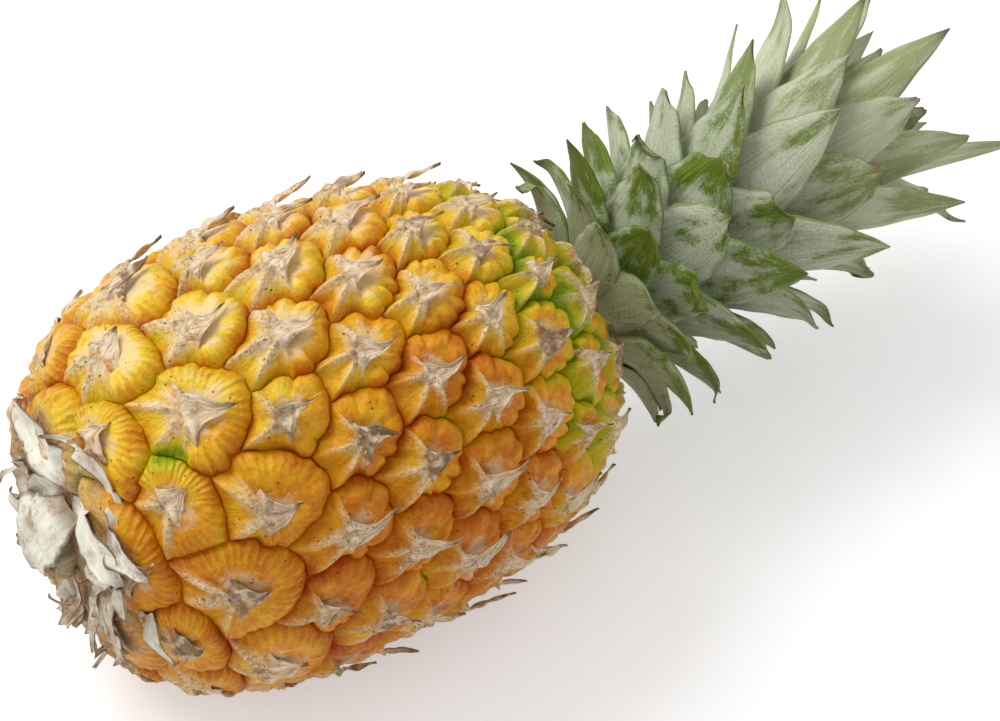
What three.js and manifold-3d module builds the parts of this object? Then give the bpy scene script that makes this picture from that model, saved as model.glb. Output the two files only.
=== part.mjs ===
// A whole pineapple lying on its side: the fruit with its eyes, the cut stalk and the dry bracts at
// its base, and the leafy crown. Millimetres, +Z up. The long axis runs along +X from base to crown,
// and the underside rests on Z = 0.
import * as THREE from "three";
import { ConvexHull } from "three/addons/math/ConvexHull.js";
import { mergeVertices } from "three/addons/utils/BufferGeometryUtils.js";
import Module from "manifold-3d";

const wasm = await Module();
wasm.setup();

const GAP = 0.35; // clearance between pieces that touch

// The fruit: a barrel, widest nearer its base, with a blunt base and rounder shoulders
const FRUIT_LENGTH = 170;
const BELLY_RADIUS = 62.6;
const BELLY_SHARE = 0.39; // share of the length from the base to the widest place
const BASE_POWERS = { along: 2.37, across: 3.05 };
const SHOULDER_POWERS = { along: 2.57, across: 2.8 };
const LYING_TILT = 3; // degrees that the crown end lies lower than the base end
const FLATTENING = 1.3; // depth of the flats that the lowest eyes rest on

// The eyes follow one spiral from base to crown, a golden angle apart
const SPIRAL_EYES = 141.7; // eyes that would cover the whole skin, poles included
const SPIRAL_SKEW = -0.471; // eyes are large at the base and small at the crown
const SPIRAL_BEND = 0.084;
const SPIRAL_OFFSET = -0.14;
const SPIRAL_TURN = 137.52;
const SPIRAL_START = 252.4;
const FIRST_EYE = 2;
const LAST_EYE = 135;
const EYE_RISE = 2.4; // height of an eye above the mean skin
const EYE_RING = 0.68; // where an eye is fullest, as a share of the way to its border
const CREASE_DEPTH = 2.6;
const BRACT_TIP_RISE = 4.6; // the free tip of each eye's bract
const BRACT_TIP_REACH = 4;

// The cut stalk and the dry bracts around it. Each bract runs over the skin from its root to its
// tip, both given as the distance from the middle of the base and the azimuth in degrees.
const STALK_RADIUS = 10;
const STALK_LENGTH = 5;
const BASE_BRACTS = [
  { root: [27, 84], tip: [58, 22], halfWidth: 8, tipLift: 4 },
  { root: [13, 128], tip: [40, 133], halfWidth: 14, tipLift: 2 },
  { root: [15, 205], tip: [46, 232], halfWidth: 8, tipLift: 5 },
  { root: [14, 268], tip: [42, 282], halfWidth: 8, tipLift: 3 },
  { root: [13, 325], tip: [40, 346], halfWidth: 8, tipLift: 4 },
  { root: [13, 40], tip: [33, 20], halfWidth: 8, tipLift: 3 },
];

// The crown: leaves on a tapered stem, on the same spiral as the eyes
const CROWN_PITCH = 9; // degrees that the crown bends up from the fruit's axis
const CROWN_YAW = 7; // degrees that it bends to the left, towards +Y
const CROWN_SINK = 3; // how far the crown's foot sits below the top of the fruit
const STEM_RADIUS = 15;
const STEM_TOP_RADIUS = 4;
const STEM_LENGTH = 80;
const LEAF_COUNT = 72;
const SEPARATE_LEAVES = 50; // the youngest leaves beyond these are still joined in the heart
const LEAF_THICKNESS = 1.3;
const LEAF_SEAT = GAP + LEAF_THICKNESS; // from the stem to the middle of a leaf's foot
const LEAF_START = 217.2; // azimuth of the lowest leaf, in degrees
const LEAF_LENGTHS = { oldest: 35, grown: 101, youngest: 61 };
const LEAF_HALF_WIDTHS = { oldest: 9.5, grown: 15, youngest: 9 };
const FOOT_ANGLES = { oldest: 54, youngest: 10 }; // between a leaf's foot and the stem, in degrees
const TIP_ANGLES = { oldest: 125, youngest: 16 };

const DEG = Math.PI / 180;
const mix = (a, b, share) => a + (b - a) * share;
const clamp01 = (value) => Math.min(1, Math.max(0, value));
const smoothstep = (from, to, value) => {
  const share = clamp01((value - from) / (to - from));
  return share * share * (3 - 2 * share);
};

// A number in 0..1 that depends only on the two integers, for natural irregularity.
function scatter(index, salt) {
  const wave = Math.sin(index * 12.9898 + salt * 78.233) * 43758.5453;
  return wave - Math.floor(wave);
}

// ---- The fruit's smooth body, as a profile turned about its axis ----

// Point of the profile: bend runs from 0 at the base's pole to PI at the crown's.
function profile(bend) {
  const toBase = bend < Math.PI / 2;
  const powers = toBase ? BASE_POWERS : SHOULDER_POWERS;
  const belly = FRUIT_LENGTH * BELLY_SHARE;
  const reach = Math.abs(Math.cos(bend)) ** (2 / powers.along);
  return {
    x: toBase ? belly * (1 - reach) : belly + (FRUIT_LENGTH - belly) * reach,
    r: BELLY_RADIUS * Math.abs(Math.sin(bend)) ** (2 / powers.across),
  };
}

// Outward normal of the profile, as { x, r }.
function profileNormal(bend) {
  const step = 1e-3;
  const before = profile(Math.max(0, bend - step));
  const after = profile(Math.min(Math.PI, bend + step));
  const length = Math.hypot(after.x - before.x, after.r - before.r);
  return { x: -(after.r - before.r) / length, r: (after.x - before.x) / length };
}

// Point of the skin raised by a lift along its normal.
function skinPoint(bend, azimuth, lift) {
  const point = profile(bend);
  const normal = profileNormal(bend);
  const radius = Math.max(0, point.r + normal.r * lift);
  return new THREE.Vector3(
    point.x + normal.x * lift,
    radius * Math.cos(azimuth),
    radius * Math.sin(azimuth),
  );
}

// Measures of the skin from the base's pole to each bend: its area, the distance along the profile,
// and the same distance in units of the local radius, as on a conformal map.
const SKIN_STEPS = 1440;
const skin = [{ bend: 0, area: 0, along: 0, turns: 0 }];
for (let i = 1; i <= SKIN_STEPS; i++) {
  const last = skin[i - 1];
  const bend = (Math.PI * i) / SKIN_STEPS;
  const a = profile(last.bend);
  const b = profile(bend);
  const step = Math.hypot(b.x - a.x, b.r - a.r);
  const across = a.r + b.r;
  skin.push({
    bend,
    area: last.area + Math.PI * across * step,
    along: last.along + step,
    turns: last.turns + (2 * step) / across,
  });
}
const skinArea = skin[SKIN_STEPS].area;

// How many eyes the spiral has laid down from the base's pole to a place on the skin.
function eyesUpTo(place) {
  const share = place.area / skinArea;
  const bow = share * (1 - share);
  return SPIRAL_EYES * (share + SPIRAL_SKEW * bow + SPIRAL_BEND * bow * (1 - 2 * share));
}

// The bend at which a measure of the skin, which grows from base to crown, reaches a value.
function bendWhere(measure, value) {
  let low = 0;
  let high = SKIN_STEPS;
  while (high - low > 1) {
    const middle = (low + high) >> 1;
    if (measure(skin[middle]) < value) low = middle;
    else high = middle;
  }
  const from = measure(skin[low]);
  const to = measure(skin[high]);
  return mix(skin[low].bend, skin[high].bend, clamp01((value - from) / (to - from)));
}

// The point of a unit sphere that a conformal map gives a place on the skin.
function spherePoint(bend, azimuth) {
  const index = Math.min(SKIN_STEPS, Math.round((bend / Math.PI) * SKIN_STEPS));
  const polar = 2 * Math.atan(Math.exp(skin[index].turns - skin[SKIN_STEPS / 2].turns));
  return new THREE.Vector3(
    -Math.cos(polar),
    Math.sin(polar) * Math.cos(azimuth),
    Math.sin(polar) * Math.sin(azimuth),
  );
}

// The skin is smooth around the stalk and under the crown, and full of relief between.
function relief(bend) {
  const { x, r } = profile(bend);
  const nearBase = x < FRUIT_LENGTH / 2;
  return nearBase ? smoothstep(20, 44, r) : smoothstep(18, 34, r);
}

// The place on the skin that a point inside it looks at, seen from the middle of the fruit.
const MIDDLE = FRUIT_LENGTH / 2;
function bendTowards(point) {
  const aim = Math.atan2(Math.hypot(point.y, point.z), point.x - MIDDLE);
  let low = 0;
  let high = Math.PI;
  for (let i = 0; i < 40; i++) {
    const middle = (low + high) / 2;
    const { x, r } = profile(middle);
    if (Math.atan2(r, x - MIDDLE) > aim) low = middle;
    else high = middle;
  }
  return (low + high) / 2;
}

function raised(point, lift) {
  const bend = bendTowards(point);
  return skinPoint(bend, Math.atan2(point.z, point.y), lift * relief(bend));
}

// ---- Geometry helpers ----

// A closed surface from a list of triangles, each three Vector3.
function surface(triangles) {
  const geometry = new THREE.BufferGeometry().setFromPoints(triangles.flat());
  return mergeVertices(geometry, 1e-3);
}

function toSolid(geometry) {
  const bare = geometry.clone();
  bare.deleteAttribute("normal");
  bare.deleteAttribute("uv");
  const merged = mergeVertices(bare, 1e-3);
  return new wasm.Manifold(
    new wasm.Mesh({
      numProp: 3,
      vertProperties: merged.attributes.position.array,
      triVerts: new Uint32Array(merged.index.array),
    }),
  );
}

function toGeometry(solid) {
  const mesh = solid.getMesh();
  const geometry = new THREE.BufferGeometry();
  geometry.setAttribute("position", new THREE.BufferAttribute(mesh.vertProperties, 3));
  geometry.setIndex(new THREE.BufferAttribute(mesh.triVerts, 1));
  return geometry;
}

// A thin blade through a row of sections, ending in a point. Each section has its middle, the
// side and outward directions, its half width, how far its margins bend inward, and its thickness.
function blade(sections, tip) {
  const rings = sections.map(({ middle, side, outward, halfWidth, sag, thickness }) =>
    [
      [-1, 0],
      [-0.42, 0.5],
      [0.42, 0.5],
      [1, 0],
      [0.42, -0.5],
      [-0.42, -0.5],
    ].map(([across, through]) =>
      middle
        .clone()
        .addScaledVector(side, across * halfWidth)
        .addScaledVector(outward, through * thickness - sag * across * across),
    ),
  );
  const triangles = [];
  const corners = rings[0].length;
  for (let k = 1; k + 1 < corners; k++) triangles.push([rings[0][0], rings[0][k + 1], rings[0][k]]);
  for (let i = 0; i + 1 < rings.length; i++) {
    for (let k = 0; k < corners; k++) {
      const next = (k + 1) % corners;
      triangles.push([rings[i][k], rings[i][next], rings[i + 1][next]]);
      triangles.push([rings[i][k], rings[i + 1][next], rings[i + 1][k]]);
    }
  }
  const last = rings[rings.length - 1];
  for (let k = 0; k < corners; k++) triangles.push([last[k], last[(k + 1) % corners], tip]);
  return surface(triangles);
}

// ---- The fruit ----

// Each eye is a low dome around the free tip of its bract, and creases part it from its neighbours.
// Neighbours are found as the corners of the hull's triangles on the conformal sphere.
function fruitGeometry() {
  const eyes = new Map();
  for (let n = FIRST_EYE; n <= LAST_EYE; n++) {
    const bend = bendWhere(eyesUpTo, n + SPIRAL_OFFSET);
    const azimuth = (SPIRAL_START - n * SPIRAL_TURN) * DEG;
    const height = relief(bend);
    const reach = (BRACT_TIP_REACH * height) / BELLY_RADIUS;
    eyes.set(spherePoint(bend, azimuth), {
      middle: skinPoint(bend, azimuth, 0),
      summit: skinPoint(bend + reach, azimuth, BRACT_TIP_RISE * height),
    });
  }
  for (const bend of [0, Math.PI]) {
    const pole = skinPoint(bend, 0, 0);
    eyes.set(spherePoint(bend, 0), { middle: pole, summit: pole });
  }

  const triangles = [];
  for (const { edge } of new ConvexHull().setFromPoints([...eyes.keys()]).faces) {
    const corners = [edge.tail(), edge.head(), edge.next.head()].map(({ point }) => eyes.get(point));
    const centre = new THREE.Vector3();
    for (const { middle } of corners) centre.addScaledVector(middle, 1 / 3);
    corners.forEach((eye, i) => {
      const next = corners[(i + 1) % 3].middle.clone().add(eye.middle).divideScalar(2);
      const previous = corners[(i + 2) % 3].middle.clone().add(eye.middle).divideScalar(2);
      const border = [next, centre, previous];
      const outer = border.map((point) => raised(point, -CREASE_DEPTH));
      const inner = border.map((point) => raised(eye.middle.clone().lerp(point, EYE_RING), EYE_RISE));
      for (let k = 0; k < 2; k++) {
        triangles.push([eye.summit, inner[k], inner[k + 1]]);
        triangles.push([inner[k], outer[k], outer[k + 1]]);
        triangles.push([inner[k], outer[k + 1], inner[k + 1]]);
      }
    });
  }
  return surface(triangles);
}

// ---- The base: the stalk and its dry bracts ----

function stalkGeometry() {
  const outline = [
    new THREE.Vector2(0, 0),
    new THREE.Vector2(STALK_RADIUS - 1.5, 0),
    new THREE.Vector2(STALK_RADIUS, 2),
    new THREE.Vector2(STALK_RADIUS - 1, STALK_LENGTH - 1.5),
    new THREE.Vector2(STALK_RADIUS - 3, STALK_LENGTH),
    new THREE.Vector2(0, STALK_LENGTH - 1),
  ];
  return new THREE.LatheGeometry(outline, 16)
    .rotateZ(Math.PI / 2)
    .translate(-GAP, 0, 0);
}

// A bract lies just clear of the eyes and lifts off the skin towards its tip.
function baseBractGeometry({ root, tip, halfWidth, tipLift }) {
  const steps = 6;
  const at = (share) => {
    const bend = bendWhere((place) => place.along, mix(root[0], tip[0], share));
    const lift = 1.4 + BRACT_TIP_RISE * relief(bend) + tipLift * share ** 2;
    const angle = mix(root[1], tip[1], share) * DEG;
    const normal = profileNormal(bend);
    return {
      point: skinPoint(bend, angle, lift),
      outward: new THREE.Vector3(normal.x, normal.r * Math.cos(angle), normal.r * Math.sin(angle)),
      bulge: Math.max(0, normal.r) / profile(bend).r,
    };
  };
  const sections = [];
  for (let i = 0; i < steps; i++) {
    const share = i / steps;
    const { point, outward, bulge } = at(share);
    const ahead = at(share + 0.02).point.sub(point).normalize();
    const half = halfWidth * Math.min(1, 0.5 + 1.7 * share) * (1 - share ** 2.2) ** 0.8;
    sections.push({
      middle: point,
      side: ahead.cross(outward).normalize(),
      outward,
      halfWidth: half,
      sag: (half * half * bulge) / 2.6,
      thickness: 1.1,
    });
  }
  return blade(sections, at(1).point);
}

// ---- The crown ----

const crownFrame = new THREE.Matrix4()
  .makeTranslation(FRUIT_LENGTH - CROWN_SINK, 0, 0)
  .multiply(new THREE.Matrix4().makeRotationZ(CROWN_YAW * DEG))
  .multiply(new THREE.Matrix4().makeRotationY(-CROWN_PITCH * DEG));

const stemRadius = (along) => mix(STEM_RADIUS, STEM_TOP_RADIUS, clamp01(along / STEM_LENGTH));

// Where leaf k sits on the stem and how it grows. Age runs from 0 at the lowest, oldest leaf to 1.
function leafShape(k) {
  const age = k / (LEAF_COUNT - 1);
  const vary = (salt, range) => 1 + range * (2 * scatter(k, salt) - 1);
  const growing = smoothstep(0.7, 1, age);
  const shooting = smoothstep(0.86, 1, age);
  const grownLength = mix(LEAF_LENGTHS.oldest, LEAF_LENGTHS.grown, age ** 1.5);
  const grownWidth = mix(LEAF_HALF_WIDTHS.oldest, LEAF_HALF_WIDTHS.grown, smoothstep(0, 0.4, age));
  return {
    foot: 6.5 + (STEM_LENGTH - 14) * age ** 1.2,
    azimuth: (LEAF_START - k * SPIRAL_TURN) * DEG,
    length: mix(grownLength, LEAF_LENGTHS.youngest, shooting) * vary(1, 0.07),
    halfWidth: mix(grownWidth, LEAF_HALF_WIDTHS.youngest, growing),
    footAngle: mix(FOOT_ANGLES.oldest, FOOT_ANGLES.youngest, age ** 0.8) * DEG,
    tipAngle: mix(TIP_ANGLES.oldest, TIP_ANGLES.youngest, age ** 0.6) * vary(2, 0.05) * DEG,
  };
}

// A leaf clasps the stem with its foot, widens, and tapers to its tip while it bends outward.
function leafGeometry(k, steps) {
  const { foot, azimuth, length, halfWidth, footAngle, tipAngle } = leafShape(k);
  const radial = new THREE.Vector3(0, Math.cos(azimuth), Math.sin(azimuth));
  const axial = new THREE.Vector3(1, 0, 0);
  const side = new THREE.Vector3(0, -Math.sin(azimuth), Math.cos(azimuth));
  const fine = 8;
  const sections = [];
  let along = foot;
  let radius = stemRadius(foot) + LEAF_SEAT;
  const footHalf = Math.min(0.58 * halfWidth, 0.62 * radius);
  for (let i = 0; i < steps * fine; i++) {
    const share = i / (steps * fine);
    const lean = mix(footAngle, tipAngle, share ** 1.2);
    if (i % fine === 0) {
      const widest = mix(footHalf, halfWidth, smoothstep(0, 0.3, share));
      const half = widest * (1 - clamp01((share - 0.2) / 0.8) ** 1.9) ** 0.9;
      sections.push({
        middle: radial.clone().multiplyScalar(radius).addScaledVector(axial, along),
        side,
        outward: radial.clone().multiplyScalar(Math.cos(lean)).addScaledVector(axial, -Math.sin(lean)),
        halfWidth: half,
        sag: half * Math.min(mix(0.37, 0.45, share), half / (2 * radius)) * Math.cos(lean * 0.5),
        thickness: LEAF_THICKNESS * (1 - 0.45 * share),
      });
    }
    along += (Math.cos(lean) * length) / (steps * fine);
    radius += (Math.sin(lean) * length) / (steps * fine);
  }
  const tip = radial.clone().multiplyScalar(radius).addScaledVector(axial, along);
  return blade(sections, tip).applyMatrix4(crownFrame);
}

// A length of the stem through a few places, each a distance along it and a swelling.
function stemPieceGeometry(places) {
  const outline = places.map(([along, swell]) => new THREE.Vector2(stemRadius(along) + swell, along));
  outline.unshift(new THREE.Vector2(0, places[0][0]));
  outline.push(new THREE.Vector2(0, places[places.length - 1][0]));
  return new THREE.LatheGeometry(outline, 14).rotateZ(-Math.PI / 2).applyMatrix4(crownFrame);
}

const heartFoot = leafShape(SEPARATE_LEAVES).foot - 2;

// The stem's foot is shaped to the top of the fruit, just clear of it.
function crownStemGeometry() {
  const shoulder = [new THREE.Vector2(0, MIDDLE)];
  for (let i = 0; i <= 24; i++) {
    const point = skinPoint(Math.PI * (0.7 + (0.3 * i) / 24), 0, GAP);
    shoulder.push(new THREE.Vector2(point.y, point.x));
  }
  const fruitTop = new THREE.LatheGeometry(shoulder, 32).rotateZ(-Math.PI / 2);
  const stem = stemPieceGeometry([[0, 0], [heartFoot - GAP, 0]]);
  return toGeometry(toSolid(stem).subtract(toSolid(fruitTop)));
}

// The growing point: the top of the stem swells to meet the youngest leaves.
function heartGeometry() {
  let heart = toSolid(
    stemPieceGeometry([[heartFoot, 0], [heartFoot + 6, LEAF_SEAT], [STEM_LENGTH, LEAF_SEAT]]),
  );
  for (let k = SEPARATE_LEAVES; k < LEAF_COUNT; k++) heart = heart.add(toSolid(leafGeometry(k, 4)));
  return toGeometry(heart);
}

// ---- The whole pineapple, laid on its side ----

const fruitMaterial = new THREE.MeshStandardMaterial({ color: 0xd08a10, roughness: 0.5, metalness: 0 });
const leafMaterial = new THREE.MeshStandardMaterial({ color: 0xa2ae96, roughness: 0.6, metalness: 0 });
const stemMaterial = new THREE.MeshStandardMaterial({ color: 0xb9bf94, roughness: 0.8, metalness: 0 });
const dryMaterial = new THREE.MeshStandardMaterial({ color: 0xddd8c6, roughness: 0.9, metalness: 0 });

// The lowest line of the skin, less the flattening, is the surface that the fruit lies on.
const laid = new THREE.Matrix4().makeRotationY(LYING_TILT * DEG);
let lowest = Infinity;
for (const { bend } of skin) {
  const point = skinPoint(bend, -Math.PI / 2, EYE_RISE).applyMatrix4(laid);
  lowest = Math.min(lowest, point.z);
}
laid.premultiply(new THREE.Matrix4().makeTranslation(0, 0, -lowest - FLATTENING));

// Everything below the surface is pressed flat.
const BELOW = 40;
const below = toSolid(
  new THREE.BoxGeometry(3 * FRUIT_LENGTH, 3 * FRUIT_LENGTH, BELOW).translate(0, 0, -BELOW / 2),
);

const pineapple = new THREE.Group();
function addPiece(name, geometry, material) {
  const mesh = new THREE.Mesh(geometry, material);
  mesh.name = name;
  pineapple.add(mesh);
}

const number = (k) => String(k + 1).padStart(2, "0");
const fruit = toSolid(fruitGeometry().applyMatrix4(laid)).subtract(below);
addPiece("fruit", toGeometry(fruit), fruitMaterial);
addPiece("fruit_stalk", stalkGeometry().applyMatrix4(laid), stemMaterial);
BASE_BRACTS.forEach((bract, k) => {
  addPiece(`base_bract_${k + 1}`, baseBractGeometry(bract).applyMatrix4(laid), dryMaterial);
});
addPiece("crown_stem", crownStemGeometry().applyMatrix4(laid), stemMaterial);
for (let k = 0; k < SEPARATE_LEAVES; k++) {
  addPiece(`crown_leaf_${number(k)}`, leafGeometry(k, 7).applyMatrix4(laid), leafMaterial);
}
addPiece("crown_heart", heartGeometry().applyMatrix4(laid), leafMaterial);

// The origin is under the middle of the whole pineapple.
const box = new THREE.Box3().setFromObject(pineapple, true);
pineapple.position.set(-(box.min.x + box.max.x) / 2, -(box.min.y + box.max.y) / 2, 0);

export default pineapple;
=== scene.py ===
"""A whole pineapple lying on its side: fruit, dry bract tips, base bracts, stalk, stem and leaves.

Shapes are worked out in millimetres in the fruit's own frame: +X from the base's pole to the crown,
azimuth 0 towards +Y and 90 degrees upwards. to_frame() lays them in the part's frame, in metres.
"""
import math
from collections import namedtuple
import bmesh
import bpy
import numpy as np
from mathutils import Matrix, Vector


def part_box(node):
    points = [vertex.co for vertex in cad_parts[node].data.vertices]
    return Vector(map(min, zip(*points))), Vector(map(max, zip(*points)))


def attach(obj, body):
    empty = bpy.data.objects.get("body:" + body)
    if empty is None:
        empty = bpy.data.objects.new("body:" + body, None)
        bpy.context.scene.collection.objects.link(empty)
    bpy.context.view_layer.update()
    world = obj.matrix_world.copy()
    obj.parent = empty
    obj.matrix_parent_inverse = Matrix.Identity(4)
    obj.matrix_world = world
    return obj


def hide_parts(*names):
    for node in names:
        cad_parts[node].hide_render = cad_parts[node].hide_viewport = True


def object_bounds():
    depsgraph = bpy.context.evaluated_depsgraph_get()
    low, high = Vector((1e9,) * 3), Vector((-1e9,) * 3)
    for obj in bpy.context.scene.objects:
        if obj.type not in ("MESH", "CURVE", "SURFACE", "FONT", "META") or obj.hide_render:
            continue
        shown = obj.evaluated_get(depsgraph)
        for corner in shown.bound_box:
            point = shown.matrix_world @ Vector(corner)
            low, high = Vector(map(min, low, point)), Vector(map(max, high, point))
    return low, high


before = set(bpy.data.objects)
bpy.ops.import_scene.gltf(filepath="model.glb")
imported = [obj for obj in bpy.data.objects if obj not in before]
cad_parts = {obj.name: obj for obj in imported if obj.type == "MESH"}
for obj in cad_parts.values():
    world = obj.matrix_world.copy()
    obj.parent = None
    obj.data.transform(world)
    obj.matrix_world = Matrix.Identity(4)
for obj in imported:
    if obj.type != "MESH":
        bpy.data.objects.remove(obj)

cad_low, cad_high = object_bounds()

# ---- Driving dimensions, the same as the solids' ----

GAP = 0.35
FRUIT_LENGTH = 170.0
BELLY_RADIUS = 62.6
BELLY_SHARE = 0.39
BASE_POWERS = (2.37, 3.05)
SHOULDER_POWERS = (2.57, 2.8)
LYING_TILT = 3.0
MIDDLE = FRUIT_LENGTH / 2

SPIRAL_EYES = 141.7
SPIRAL_SKEW = -0.471
SPIRAL_BEND = 0.084
SPIRAL_OFFSET = -0.14
SPIRAL_TURN = 137.52
SPIRAL_START = 252.4
FIRST_EYE = 2
LAST_EYE = 135

STALK_RADIUS = 10.0
STALK_LENGTH = 5.0

CROWN_PITCH = 9.0
CROWN_YAW = 7.0
CROWN_SINK = 3.0
STEM_RADIUS = 15.0
STEM_TOP_RADIUS = 4.0
STEM_LENGTH = 80.0
LEAF_COUNT = 72
SEPARATE_LEAVES = 50
LEAF_THICKNESS = 1.3
LEAF_SEAT = GAP + LEAF_THICKNESS
LEAF_START = 217.2

MM = 0.001
FULL_TURN = 2 * math.pi
PHASE = 6.28  # the range of a wave's random phase


# ---- Small helpers ----

def mix(a, b, share):
    return a + (b - a) * share


def step(low, high, value):
    """A smooth step from 0 to 1, as the value goes from low to high."""
    share = np.clip((value - low) / (high - low), 0.0, 1.0)
    return share * share * (3 - 2 * share)


def bell(value, width):
    """1 where the value is 0, falling away smoothly on both sides."""
    return np.exp(-(value / width) ** 2)


def scatter(index, salt):
    """A number in 0..1 that depends only on the two integers."""
    wave = np.sin(index * 12.9898 + salt * 78.233) * 43758.5453
    return wave - np.floor(wave)


def unit(vectors):
    return vectors / np.linalg.norm(vectors, axis=-1, keepdims=True)


def wrap(angle):
    """An angle in -pi..pi."""
    return (angle + math.pi) % FULL_TURN - math.pi


def together(*values):
    """Values that broadcast together, as the last axis of one array."""
    return np.stack(np.broadcast_arrays(*values), axis=-1)


def rows_of(*values):
    """Values that broadcast together, as one row of numbers for each point."""
    return together(*values).reshape(-1, len(values))


def wave_noise(points, scale, salt):
    """Smooth irregularity in -1..1 from a few crossed waves; scale is the rough size of its bumps."""
    total = np.zeros(points.shape[:-1])
    for k in range(5):
        axis = np.array([scatter(salt + k, 1), scatter(salt + k, 2), scatter(salt + k, 3)]) - 0.5
        axis = axis / np.linalg.norm(axis) * FULL_TURN / (scale * (1.1 + 0.35 * k))
        crossing = np.sin(points @ axis[[1, 2, 0]])
        total += np.sin(points @ axis + PHASE * scatter(salt + k, 4) + 1.3 * crossing)
    return total / 3.2


# ---- The smooth body of the fruit ----

BEND_STEP = 2e-3
PROFILE_POINTS = 1441
STALK_FADE = (6, 30)  # the eyes fade out between these radii around the stalk
CROWN_FADE = (16, 30)  # and between these under the crown


def profile(bend):
    """Distance along the axis and radius, from the base's pole (0) to the crown's (pi)."""
    to_base = bend < math.pi / 2
    along = np.where(to_base, BASE_POWERS[0], SHOULDER_POWERS[0])
    across = np.where(to_base, BASE_POWERS[1], SHOULDER_POWERS[1])
    belly = FRUIT_LENGTH * BELLY_SHARE
    reach = np.abs(np.cos(bend)) ** (2 / along)
    x = np.where(to_base, belly * (1 - reach), belly + (FRUIT_LENGTH - belly) * reach)
    return x, BELLY_RADIUS * np.abs(np.sin(bend)) ** (2 / across)


def profile_normal(bend):
    x0, r0 = profile(np.maximum(0, bend - BEND_STEP))
    x1, r1 = profile(np.minimum(math.pi, bend + BEND_STEP))
    length = np.hypot(x1 - x0, r1 - r0)
    return -(r1 - r0) / length, (x1 - x0) / length


def around(x, radius, azimuth):
    return together(x, radius * np.cos(azimuth), radius * np.sin(azimuth))


def skin_point(bend, azimuth, lift=0.0):
    x, r = profile(bend)
    nx, nr = profile_normal(bend)
    return around(x + nx * lift, np.maximum(0, r + nr * lift), azimuth)


def skin_normal(bend, azimuth):
    nx, nr = profile_normal(bend)
    return around(nx, nr, azimuth)


BENDS = np.linspace(0, math.pi, PROFILE_POINTS)
PROFILE_X, PROFILE_R = profile(BENDS)
STEPS = np.hypot(np.diff(PROFILE_X), np.diff(PROFILE_R))
ACROSS = PROFILE_R[1:] + PROFILE_R[:-1]
AREA = np.concatenate([[0], np.cumsum(math.pi * ACROSS * STEPS)])
ALONG = np.concatenate([[0], np.cumsum(STEPS)])
TURNS = np.concatenate([[0], np.cumsum(2 * STEPS / ACROSS)])
AIM = np.arctan2(PROFILE_R, PROFILE_X - MIDDLE)


def eyes_up_to(area_share):
    """How many eyes of the spiral lie within a share of the skin's area, from the base's pole."""
    bow = area_share * (1 - area_share)
    return SPIRAL_EYES * (area_share + SPIRAL_SKEW * bow + SPIRAL_BEND * bow * (1 - 2 * area_share))


def bend_along(distance):
    return np.interp(distance, ALONG, BENDS)


def look_up(points):
    """Bend and azimuth of the skin under each point, seen from the middle of the fruit."""
    radius = np.hypot(points[..., 1], points[..., 2])
    aim = np.arctan2(radius, points[..., 0] - MIDDLE)
    return np.interp(-aim, -AIM, BENDS), np.arctan2(points[..., 2], points[..., 1])


def relief(bend):
    """How fully the eyes stand out of the skin."""
    x, r = profile(bend)
    return np.where(x < MIDDLE, step(*STALK_FADE, r), step(*CROWN_FADE, r))


# ---- From the fruit's frame to the part's ----

def turned(degrees, axis):
    return Matrix.Rotation(math.radians(degrees), 3, axis)


LAID = np.array(turned(LYING_TILT, "Y"))
CROWN_TURN = np.array(turned(CROWN_YAW, "Z") @ turned(-CROWN_PITCH, "Y"))
CROWN_PLACE = np.array([FRUIT_LENGTH - CROWN_SINK, 0, 0])
stalk_low, stalk_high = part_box("fruit_stalk")
stalk_middle = np.array((stalk_low + stalk_high) / 2)
BASE_POLE = stalk_middle + LAID @ np.array([GAP + STALK_LENGTH / 2, 0, 0]) * MM


def to_frame(points):
    return BASE_POLE + points @ LAID.T * MM


def to_crown(points):
    """From the crown's own frame, +X along its stem, to the fruit's."""
    return points @ CROWN_TURN.T + CROWN_PLACE


def lay(points, clearance):
    """Points moved to the part's frame, and kept a clearance above what the fruit lies on."""
    laid = to_frame(points)
    laid[..., 2] = np.maximum(laid[..., 2], clearance * MM)
    return laid


# ---- Building pieces ----

def add_object(name, data):
    made = bpy.data.objects.new(name, data)
    bpy.context.scene.collection.objects.link(made)
    return made


def add_piece(name, points, faces, material, attributes=None):
    """A smooth mesh piece from points in the part's frame, with named vectors at its points."""
    mesh = bpy.data.meshes.new(name)
    mesh.from_pydata(points.tolist(), [], faces)
    mesh.polygons.foreach_set("use_smooth", [True] * len(mesh.polygons))
    for label, values in (attributes or {}).items():
        layer = mesh.attributes.new(label, "FLOAT_VECTOR", "POINT")
        layer.data.foreach_set("vector", values.astype(np.float32).ravel())
    mesh.materials.append(material)
    mesh.update()
    piece = add_object(name, mesh)
    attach(piece, "root")
    return piece


def flipped(faces):
    return [tuple(reversed(face)) for face in faces]


def grid_faces(rows, columns, closed=False, first=0):
    """Quads of a grid of points, row by row; a closed grid joins its last column to its first."""
    faces = []
    for i in range(rows - 1):
        low = first + i * columns
        high = low + columns
        for j in range(columns if closed else columns - 1):
            k = (j + 1) % columns
            faces.append((low + j, low + k, high + k, high + j))
    return faces


def capped_tube(rings):
    """A closed body from rings of points: a flat cap on its first ring and a fan on its last."""
    rows, columns = rings.shape[:2]
    points = np.concatenate([rings.reshape(-1, 3), rings[-1].mean(axis=0)[None]])
    last = (rows - 1) * columns
    faces = grid_faces(rows, columns, closed=True)
    faces += [(last + j, last + (j + 1) % columns, len(points) - 1) for j in range(columns)]
    faces.append(tuple(reversed(range(columns))))
    return points, faces


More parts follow.
